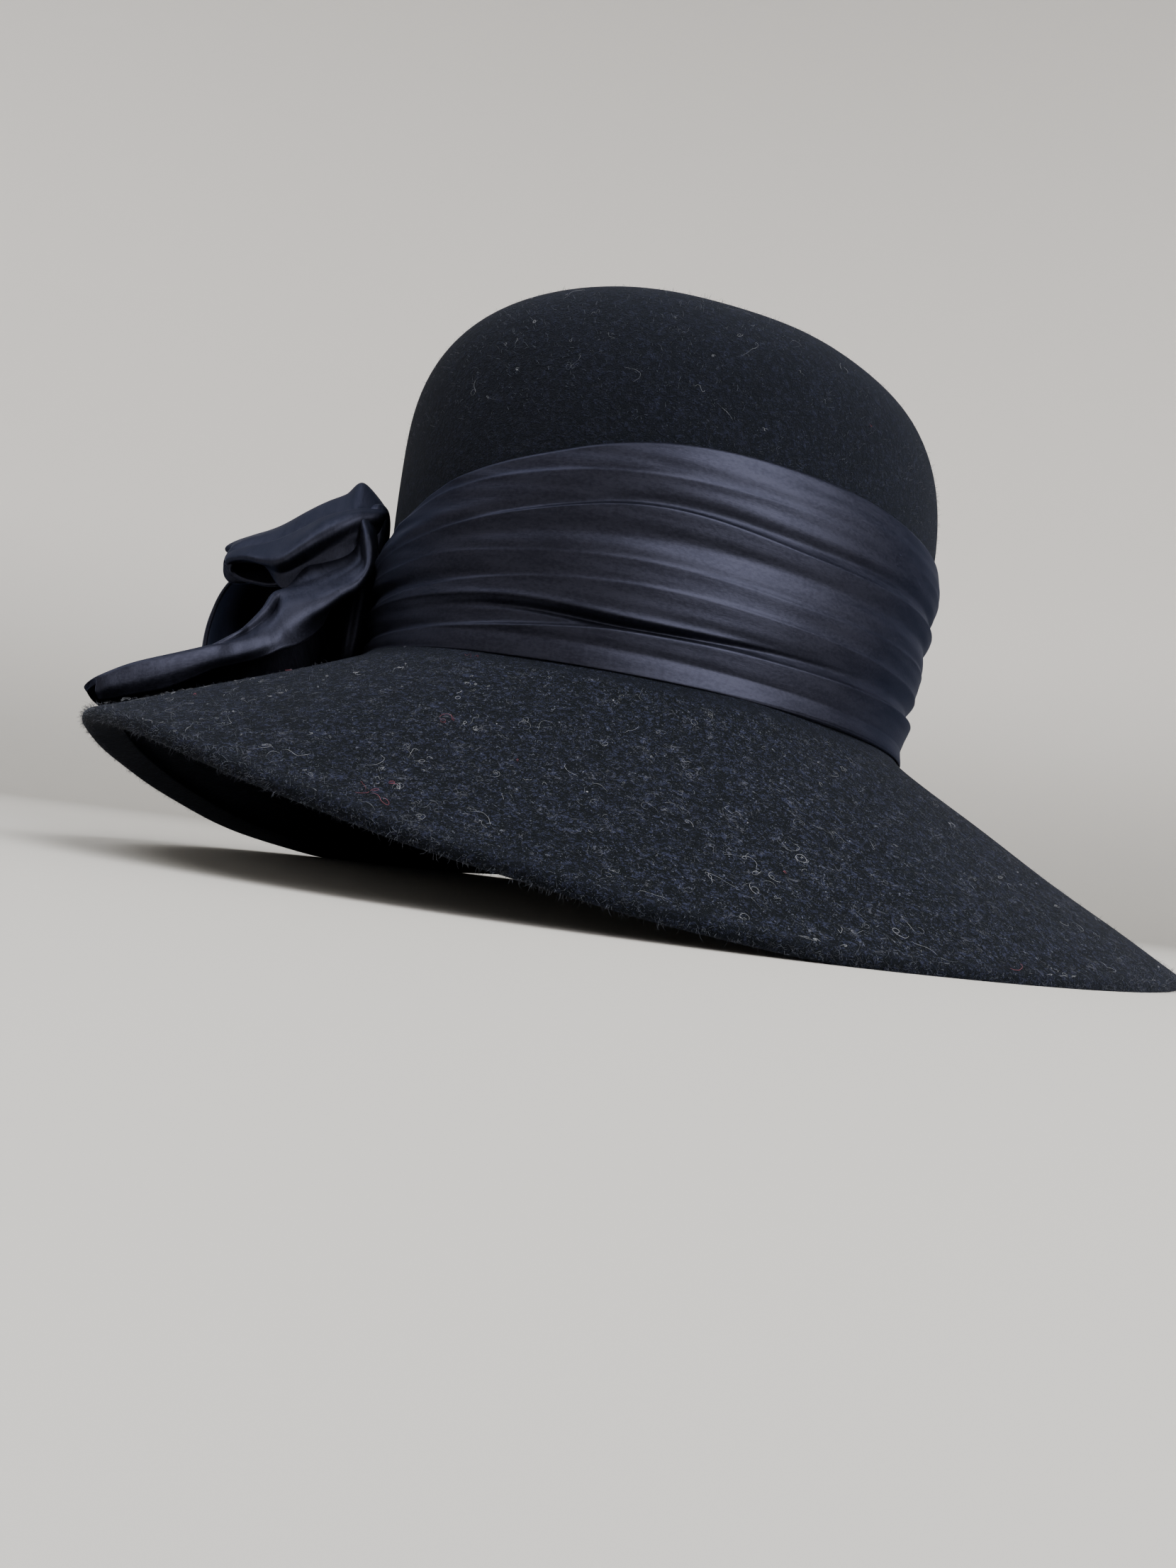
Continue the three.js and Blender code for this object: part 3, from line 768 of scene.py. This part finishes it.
rearLoop = {
    "far": [
        (4, -13, 14), (9, -34, 22), (22, -48, 24), (38, -57, 18), (50, -60, 9), (54, -61, -6),
        (51, -60, -22), (38, -55, -26), (22, -42, -14), (8, -22, 4),
    ],
    "middle": [
        (6, -9, 17), (12, -28, 27), (25, -40, 31), (40, -45, 29), (51, -46, 20), (57, -46, 4),
        (54, -46, -15), (40, -41, -20), (25, -33, -12), (10, -18, 4),
    ],
    "near": [
        (7, -6, 18), (15, -21, 23), (28, -28, 27), (42, -30, 28), (50.5, -31, 23.5), (55, -31, 11),
        (54, -30, -6), (43, -27, -14), (27, -23, -10), (12, -14, 3),
    ],
}
tail = {
    "low": [
        (6, -3, 45), (5, -5, 42), (5, -8, 35), (5, -9, 25), (5, -10, 15), (6, -10, 5), (8, -9, -2),
        (12, -7, -6), (17, -5, -9), (22, -4, -12), (27, -3, -15), (32, -1, -18), (38, 0, -20),
        (44, 1, -23), (51, 3, -26), (58, 8, -29), (65, 14, -32), (70, 20, -34), (70.5, 20.5, -34.5),
    ],
    "behind": [
        (8, 0, 46), (11.5, 2, 45), (14.5, 1, 42), (16.5, -1, 39), (18, 0, 34.5), (19.5, 2, 30.5),
        (21.5, 4, 26.5), (24.5, 6, 23), (28, 7, 14), (30, 7, 8), (32, 7, 1), (35, 8, -6), (39, 9, -12),
        (44, 11, -16.5), (51, 13, -21), (59, 18, -27), (66, 26, -31), (71.5, 33, -34), (72.5, 33.5, -34.5),
    ],
    "inner": [
        (6, 3, 46.5), (10, 8, 44.5), (10, 9, 40.5), (9, 12, 35), (9, 15, 30), (11, 17, 26),
        (15.5, 19, 22), (20, 21, 18), (24.5, 22, 14.5), (28.5, 23, 12), (30.5, 26, 9.5), (32, 30, 4.5),
        (35.5, 35, -2.5), (38.5, 39, -7), (50, 41, -17.5), (59, 43, -24), (67, 46, -29), (72, 48, -32),
        (73, 48.5, -32.8),
    ],
    "groove": [
        (5, 5, 46.5), (9.5, 11, 44), (8, 15, 39), (6, 19, 32.5), (5.5, 22, 27.5), (8.5, 24, 23),
        (13, 26, 18.5), (18, 28, 14), (23, 29, 10.5), (27, 29, 8.5), (28.5, 28, 6), (30.5, 33, 1),
        (34, 38.5, -4.5), (38, 42.5, -8.5), (48, 46, -16.5), (57, 49, -22.5), (66, 52, -27.5),
        (71.5, 54, -30.5), (72.5, 54, -31.5),
    ],
    "crest": [
        (4, 6, 47), (8.5, 12, 44.5), (6.5, 18, 38), (4.5, 22, 31.5), (4, 26, 25.5), (6, 29, 20),
        (11, 31, 15.5), (15.5, 32, 11), (21, 33, 7.5), (25.5, 34, 4.5), (27.5, 36, 1), (29.5, 39, -3),
        (33, 43, -7), (37.5, 46, -10), (43, 50, -13), (54, 54, -19.5), (63, 56.5, -24.5),
        (68, 57.5, -28), (69.3, 57.3, -29.5),
    ],
    "outer": [
        (3, 4, 48), (7.5, 9, 46), (5, 12, 41), (3.5, 14, 35), (2.5, 19, 27.5), (5.5, 26, 18.5),
        (10, 29, 13.5), (14.5, 31, 8.5), (19.5, 34, 3.5), (23.5, 37, -0.5), (25.5, 39.5, -3.5),
        (28, 41.2, -6.5), (32, 43.9, -10.5), (36.5, 46.9, -13.5), (42, 50.4, -16.5), (53, 54.4, -23.5),
        (62, 56.9, -28.5), (66.5, 57.9, -31), (69, 56.9, -32.5),
    ],
    "under": [
        (2, 0, 49), (6, 4, 48), (4.5, 4, 44), (2.5, 4, 38.5), (3, 8, 29.5), (6.5, 15, 22),
        (10, 18, 17), (13, 22, 12), (15.5, 28, 3), (20, 35, -4), (24, 39, -7), (27, 40.3, -9.5),
        (31.5, 41.6, -12.5), (36.5, 44.6, -15.5), (41.5, 48.1, -18.5), (52, 52.1, -26.5), (61, 54.6, -31),
        (66, 55.1, -33.5), (68.5, 54.1, -34),
    ],
}


def stripRings(lanes, closed, steps, across, seed):
    controls = np.array(list(lanes.values()), float)  # lanes, sections, axes
    at = np.arange(steps) / steps if closed else np.linspace(0, 1, steps)
    runs = np.array([smoothCurve(control, at, closed) for control in controls])
    sides = np.linspace(0, 1, across)
    middle = fromKnot([smoothCurve(runs[:, i], sides, False) for i in range(len(at))])
    # gathers that run out from the knot and fade
    spread = np.linalg.norm(middle - fromKnot([0, 0, 25]), axis=-1)
    longer = np.pad(middle, ((1, 1), (0, 0), (0, 0)), mode="wrap" if closed else "edge")
    along = longer[2:] - longer[:-2]
    sideways = np.gradient(middle, axis=1)
    normal = unit(np.cross(along, sideways))
    broad, fine = bow["gathers"]
    ripple = np.sin(sides * broad + seed) + 0.6 * np.sin(sides * fine + 2 * seed)
    fade = np.exp(-((spread / bow["rippleReach"]) ** 2))
    middle = middle + normal * (bow["ripple"] * fade * ripple)[..., None]
    middle = middle + normal * bow["lumps"] * waves(middle, bow["lumpSize"], seed)[..., None]
    half = bow["cloth"] / 2
    sideways = unit(sideways)
    upper = middle + normal * half
    lower = middle - normal * half
    # the layer on top keeps the cloth's thickness where the strip lies on the brim
    for layer, onTop in ((upper, normal[..., 2] > 0), (lower, normal[..., 2] < 0)):
        lowest = brimHeights(layer.reshape(-1, 3)).reshape(layer.shape[:-1])
        keepAbove(layer, lowest + bow["clear"] + bow["cloth"] * onTop)
    turns = np.linspace(0, math.pi, 6)[1:-1]

    def edge(lane, size):
        arcs = [normal[:, lane] * math.cos(turn) + sideways[:, lane] * math.sin(turn) for turn in turns]
        return np.stack([middle[:, lane] + size * arc for arc in arcs], 1)

    ring = np.concatenate([upper, edge(-1, half), lower[:, ::-1], edge(0, -half)], axis=1)
    flat = ring.reshape(-1, 3)
    keepAbove(flat, brimHeights(flat) + bow["clear"])
    width = np.linalg.norm(np.diff(middle, axis=1), axis=-1).sum(1).mean()
    length = np.linalg.norm(along, axis=-1).mean(1).sum() / 2
    return flat.reshape(ring.shape), width / 1000, length / 1000


def makeStrip(name, node, lanes, closed, steps, across, seed, finish):
    rings, width, length = stripRings(lanes, closed, steps, across, seed)
    count, around = rings.shape[:2]
    faces = gridFaces(count, around, closeRows=True) if closed else tubeFaces(1, count, around)
    lengthways, widthways = np.meshgrid(
        np.linspace(0, length, count), np.linspace(0, 2 * width, around), indexing="ij"
    )
    cloth = np.stack([widthways, lengthways, 0 * lengthways], -1)
    strip = addPiece(name, toPart(rings.reshape(-1, 3)), faces, finish, cloth)
    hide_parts(node)
    print(name, "made,", round(width, 3), "by", round(length, 3))


knot = {
    "middle": [4.8, 1, 23.8],
    "half": [6.4, 10.5, 29.5],
    "power": 2.5,
    "pinch": 0.16,
    "folds": 0.02,
    "foldsRound": (9, 17),
    "rings": 90,
    "sides": 96,
}


def makeKnot(finish):
    rise = np.linspace(-math.pi / 2, math.pi / 2, knot["rings"] + 2)[1:-1, None]
    turn = fullTurn(knot["sides"])[None]
    power = 2 / knot["power"]

    def squared(value):
        return np.sign(value) * np.abs(value) ** power

    level = np.cos(rise) ** power
    pinch = 1 - knot["pinch"] * np.cos(rise) ** 4
    broad, fine = knot["foldsRound"]
    broad = np.sin(broad * turn + 1.3 * np.sin(rise * 2))
    fine = np.sin(fine * turn + 2 * rise)
    folds = 1 + knot["folds"] * broad + knot["folds"] / 2 * fine
    shape = level * pinch * folds
    out, forward, up = knot["half"]
    x = out * shape * squared(np.cos(turn))
    y = forward * shape * squared(np.sin(turn))
    z = up * squared(np.sin(rise)) + 0 * turn
    rings = np.stack([x, y, z], -1) + knot["middle"]
    poles = np.array([[0, 0, -up], [0, 0, up]]) + knot["middle"]
    points = fromKnot(np.concatenate([rings.reshape(-1, 3), poles]))
    count, sides = rings.shape[:2]
    faces = poleFaces(count, sides)
    keepAbove(points, brimHeights(points) + bow["clear"])
    cloth = points[:, [2, 0, 1]] / 1000
    piece = addPiece("bow_knot_wrapped", toPart(points), faces, finish, cloth)
    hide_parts("bow_knot")


makeKnot(satinMaterial)
makeStrip("bow_loop_front", "bow_loop_upper", upperLoop, True, 260, 90, 1, satinMaterial)
makeStrip("bow_loop_back", "bow_loop_rear", rearLoop, True, 200, 30, 2, satinMaterial)
makeStrip("bow_tail_laid", "bow_tail", tail, False, 300, 110, 3, satinMaterial)
print("bow made")


# Fluff: lint on the felt, its own short hairs, one long hair

# Lint lies thickest on the front of the brim and towards its edge. Millimetres.
fluff = {
    "whiteLint": {
        "count": 520, "length": (2.0, 12.0), "radius": (0.013, 0.026), "lift": 0.7, "tangled": 0.6,
        "seed": 31,
    },
    "redLint": {
        "count": 26, "length": (3.0, 9.0), "radius": (0.018, 0.030), "lift": 0.8, "tangled": 0.8,
        "seed": 32,
    },
    "longHair": {
        "headings": (-41, -8), "out": (0.045, 0.018), "lift": (0.5, 0.35), "radius": 0.045,
        "points": 90, "seed": 36,
    },
    "bodyHairs": {
        "count": 9000, "length": (0.8, 2.2), "radius": 0.036, "heights": (66, 129.5), "seed": 33,
    },
    "rimHairs": {"count": 8000, "length": (0.7, 2.6), "radius": 0.034, "seed": 34},
    "specks": {
        "count": 14, "radius": (0.10, 0.42), "lumps": 0.25, "headings": (-4, 44), "out": (0.15, 0.97),
        "seed": 35,
    },
}
lintSpread = {
    "headings": (14, 50),  # middle and spread, in degrees
    "anywhere": 0.25,  # share that lies at any heading
    "inwards": 0.45,  # spread from the rim, as a share of the brim
    "onCrown": 0.10,
    "crownHeights": (72, 124),
    "tuft": (0.012, 0.018),  # a tuft's spread round the hat in radians and across the brim
    "radius": {"brim": 150, "crown": 92},
    "brimWidth": 92,
}


# A thread's bend: spread of the steady part and of the change at each point, share of the change kept,
# share that turns the thread
lintCurl = (0.30, 0.50, 0.42, 0.9)


def tubes(paths, radii, sides=3):
    # thin tubes along many paths; paths are fibre, point, axis
    along = unit(np.gradient(paths, axis=1))
    across = unit(np.cross(along, (0.31, 0.52, 0.79)))
    other = np.cross(along, across)
    turn = np.arange(sides) * 2 * math.pi / sides
    rings = paths[:, :, None] + radii[:, :, None, None] * (
        across[:, :, None] * np.cos(turn)[:, None] + other[:, :, None] * np.sin(turn)[:, None]
    )
    return rings.reshape(-1, 3), tubeFaces(*paths.shape[:2], sides)


def offFelt(heading, part, place, lift):
    # points over the felt, each with its own heading, place and lift
    return skinRing(heading, part, place) + skinNormals(heading, part, place) * lift[..., None]


def curls(draw, look, points=18):
    # wandering lines lying on the felt
    count = look["count"]
    length = mix(*look["length"], draw.uniform(0, 1, count) ** 1.7)
    steady, changing, kept, turning = lintCurl
    bend = draw.normal(0, steady, (count, 1))
    bend = bend + draw.normal(0, changing, (count, points)).cumsum(1) * kept
    way = draw.uniform(0, 2 * math.pi, (count, 1)) + bend.cumsum(1) * turning
    step = (length / points)[:, None]
    aside = (np.cos(way) * step).cumsum(1)
    outwards = (np.sin(way) * step).cumsum(1)
    lift = look["lift"] * draw.uniform(0.2, 1, (count, 1))
    rise = 0.12 + lift * np.abs(np.sin(np.linspace(0, 1, points) * draw.uniform(2, 9, (count, 1))))
    onCrown = draw.uniform(0, 1, count) < lintSpread["onCrown"]
    heading = np.radians(draw.normal(*lintSpread["headings"], count))
    stray = draw.uniform(0, 1, count) < lintSpread["anywhere"]
    heading = np.where(stray, draw.uniform(0, 2 * math.pi, count), heading)
    out = 1 - np.abs(draw.normal(0, lintSpread["inwards"], count)) % 0.9
    # some catch on each other in tufts
    leader = draw.integers(0, count, count)
    caught = draw.uniform(0, 1, count) < look["tangled"]
    tuftTurn, tuftOut = lintSpread["tuft"]
    heading = np.where(caught, heading[leader] + draw.normal(0, tuftTurn, count), heading)[:, None]
    out = np.where(caught, out[leader] + draw.normal(0, tuftOut, count), out)[:, None]
    radius = lintSpread["radius"]
    out = np.clip(out + outwards / lintSpread["brimWidth"], 0.08, 0.985)
    lines = offFelt(heading + aside / radius["brim"], "brim", out, rise)
    height = draw.uniform(*lintSpread["crownHeights"], count)[:, None]
    above = offFelt(heading + aside / radius["crown"], "side", np.clip(height + outwards, 68, 127), rise)
    lines = np.where(onCrown[:, None, None], above, lines)
    thick = draw.uniform(*look["radius"], (count, 1))
    taper = np.clip(np.minimum(np.arange(points), np.arange(points)[::-1]) / 2 + 0.25, 0, 1)
    return lines, thick * taper


def plainFinish(name, dark, light, roughness, size):
    finish = Finish(name)
    shade = finish.blend(finish.between(finish.noise(finish.place(), size), 0.35, 0.65), dark, light)
    return finish.surface({"Base Color": shade, "Roughness": roughness, "Specular IOR Level": 0.25})


whiteFibre = plainFinish("lint_pale", (0.05, 0.055, 0.07, 1), (0.32, 0.33, 0.36, 1), 0.8, 0.006)
redFibre = plainFinish("lint_red", (0.12, 0.02, 0.035, 1), (0.24, 0.07, 0.09, 1), 0.8, 0.004)
darkFibre = plainFinish("felt_hair", (0.012, 0.013, 0.018, 1), (0.075, 0.082, 0.105, 1), 0.7, 0.003)


def makeLint(name, look, finish):
    lines, radii = curls(np.random.default_rng(look["seed"]), look)
    points, faces = tubes(lines, radii, 4)
    addPiece(name, toPart(points), faces, finish)


def makeLongHair(finish):
    # one long hair lying by the band's foot
    look = fluff["longHair"]
    along = np.linspace(0, 1, look["points"])
    first, last = np.radians(look["headings"])
    seen = np.stack([along * 3, 0 * along], -1)
    (out, strays), (lift, rises) = look["out"], look["lift"]
    out = out + strays * waves(seen, 1.5, look["seed"])
    lift = lift + rises * waves(seen, 0.9, look["seed"] + 1)
    line = offFelt(mix(first, last, along), "brim", out, np.maximum(lift, 0.1))
    points, faces = tubes(line[None], np.full((1, len(along)), look["radius"]), 5)
    addPiece("lint_long_hair", toPart(points), faces, finish)


def hairLines(draw, roots, ways, look):
    count = len(roots)
    length = draw.uniform(*look["length"], (count, 1)) * draw.uniform(0.5, 1, (count, 1))
    sway = draw.normal(0, 1, (count, 3))
    first = unit(ways + sway * 0.75)
    second = unit(ways * 0.4 + sway + draw.normal(0, 0.5, (count, 3)))
    middle = roots + first * length * 0.5
    lines = np.stack([roots - ways * 0.25, middle, middle + second * length * 0.5], 1)
    return lines, look["radius"] * np.array([1.0, 0.8, 0.3]) * np.ones((count, 1))


def makeBodyHairs(finish):
    look = fluff["bodyHairs"]
    draw = np.random.default_rng(look["seed"])
    half = look["count"] // 2
    heading = draw.uniform(0, 2 * math.pi, look["count"])
    out = np.sqrt(draw.uniform(0.05, 1, half)) * 0.98
    height = draw.uniform(*look["heights"], look["count"] - half)
    places = [(heading[:half], "brim", out), (heading[half:], "side", height)]
    roots, ways = (np.concatenate([work(*place) for place in places]) for work in (skinRing, skinNormals))
    lines, radii = hairLines(draw, roots, ways, look)
    points, faces = tubes(lines, radii)
    addPiece("felt_hairs", toPart(points), faces, finish)


def makeRimHairs(finish):
    look = fluff["rimHairs"]
    draw = np.random.default_rng(look["seed"])
    heading = draw.uniform(0, 2 * math.pi, look["count"])
    radius = feltBody["hemThickness"] / 2
    turn = np.clip(draw.normal(math.pi / 2, 0.8, look["count"]), 0, math.pi)
    normal = skinNormals(heading, "inset", radius)
    middle = skinRing(heading, "inset", radius) - normal * radius
    outward = rimOutward(heading)
    ways = normal * np.cos(turn)[:, None] + outward * np.sin(turn)[:, None]
    lines, radii = hairLines(draw, middle + radius * ways, ways, look)
    points, faces = tubes(lines, radii)
    points = toPart(points)
    keepAbove(points, 0.00002)
    addPiece("rim_hairs", points, faces, finish)


def makeSpecks(finish):
    # tiny balls of lint
    look = fluff["specks"]
    count = look["count"]
    draw = np.random.default_rng(look["seed"])
    heading = np.radians(draw.normal(*look["headings"], count))
    out = draw.uniform(*look["out"], count)
    size = mix(*look["radius"], draw.uniform(0, 1, count) ** 2)
    centres = offFelt(heading, "brim", out, size * 0.6)
    sides = 8
    turn = fullTurn(sides)
    rise = np.array([-1.2, -0.6, 0, 0.6, 1.2])
    ball = np.stack([
        np.cos(rise)[:, None] * np.cos(turn),
        np.cos(rise)[:, None] * np.sin(turn),
        np.sin(rise)[:, None] + 0 * turn,
    ], -1).reshape(-1, 3)
    lumps = 1 + look["lumps"] * draw.normal(size=(count, len(ball), 1))
    points = centres[:, None] + ball[None] * lumps * size[:, None, None]
    faces = tubeFaces(count, len(rise), sides)
    addPiece("lint_specks", toPart(points.reshape(-1, 3)), faces, finish)


makeLint("lint_pale", fluff["whiteLint"], whiteFibre)
makeLint("lint_red", fluff["redLint"], redFibre)
makeSpecks(whiteFibre)
makeLongHair(whiteFibre)
makeBodyHairs(darkFibre)
makeRimHairs(darkFibre)
print("fluff made")


# Floor, lights and camera

# Metres and watts
room = {
    "floorRings": (0.02, 0.2, 0.5, 0.9, 1.25, 1.6),
    "sides": 96,
    "bend": 0.8,
    "bendRings": 16,
    "wall": 2.4,
    "floorColour": (0.44, 0.428, 0.405, 1),
    "wallColour": (0.80, 0.775, 0.745, 1),
    "surface": {"Roughness": 0.85, "Specular IOR Level": 0.2},
    "skyColour": (0.95, 0.97, 1.0, 1),
    "skyStrength": 0.5,
    "aim": (0, 0, 0.1),
    "key": {"at": (1.00, -0.45, 1.50), "size": 1.2, "power": 38.0},
    "side": {"at": (1.44, -0.30, 0.58), "size": 1.0, "power": 30.0},
    "front": {"at": (-0.80, -0.80, 1.85), "size": 1.2, "power": 26.0},
}


def makeRoom():
    profile = [(radius, 0.0) for radius in room["floorRings"]]
    for turn in np.linspace(0, math.pi / 2, room["bendRings"])[1:]:
        radius = room["floorRings"][-1] + room["bend"] * math.sin(turn)
        profile.append((radius, room["bend"] * (1 - math.cos(turn))))
    profile.append((profile[-1][0], room["bend"] + room["wall"]))
    turns = fullTurn(room["sides"])
    rings = np.array([[(r * math.cos(turn), r * math.sin(turn), z) for turn in turns] for r, z in profile])
    faces = gridFaces(len(profile), room["sides"])
    faces.append(list(range(room["sides"])))
    mesh = smoothMesh("studio_floor", rings, faces)
    paint = Finish("studio_paint")
    where = paint.place()
    height = paint.upward(where) + paint.noise(where, 0.5, 2.0) * 0.08
    colour = paint.blend(paint.between(height, 0.0, 0.7), room["floorColour"], room["wallColour"])
    mesh.materials.append(paint.surface({"Base Color": colour, **room["surface"]}))
    addObject("studio_floor", mesh)


def addLight(name, at, size, power):
    lamp = bpy.data.lights.new(name, "AREA")
    lamp.shape = "DISK"
    lamp.size = size
    lamp.energy = power
    light = addObject(name, lamp)
    light.location = at
    light.rotation_euler = (Vector(room["aim"]) - Vector(at)).to_track_quat("-Z", "Y").to_euler()


makeRoom()
for name in ("key", "side", "front"):
    addLight(name + "_light", **room[name])

world = bpy.data.worlds.new("sky")
world.use_nodes = True
sky = world.node_tree.nodes["Background"]
sky.inputs[0].default_value = room["skyColour"]
sky.inputs[1].default_value = room["skyStrength"]
bpy.context.scene.world = world

# Degrees and millimetres about the middle of the crown's foot; ahead is how far that point lies from
# the middle of the view, in shares of its width.
view = {
    "azimuth": 32.9,
    "elevation": -4.6,
    "roll": 10.8,
    "distance": 417.4,
    "ahead": (0.0412, -0.0537),
    "lens": 36.07,
    "sensor": 36,
}


def makeCamera():
    turn, tip, roll = (math.radians(view[key]) for key in ("azimuth", "elevation", "roll"))
    back = np.array([math.sin(turn) * math.cos(tip), -math.cos(turn) * math.cos(tip), math.sin(tip)])
    right = np.cross(-back, (0, 0, 1))
    right /= np.linalg.norm(right)
    down = -np.cross(right, -back)
    across = math.cos(roll) * right - math.sin(roll) * down
    below = math.sin(roll) * right + math.cos(roll) * down
    perWidth = view["sensor"] / view["lens"] * view["distance"]
    aside = across * view["ahead"][0] * perWidth + below * view["ahead"][1] * perWidth
    eye = back * view["distance"] - aside
    camera = bpy.data.cameras.new("camera")
    camera.lens = view["lens"]
    camera.sensor_width = view["sensor"]
    camera.sensor_fit = "HORIZONTAL"
    camera.clip_start = 0.01
    holder = addObject("camera", camera)
    axes = lean @ np.stack([across, -below, back], 1)
    spot = toPart(eye)
    print("camera stands", np.round(spot * 1000, 1))
    holder.matrix_world = Matrix.Translation(Vector(spot)) @ Matrix(axes.tolist()).to_4x4()
    bpy.context.scene.camera = holder


makeCamera()
print("room and camera made")
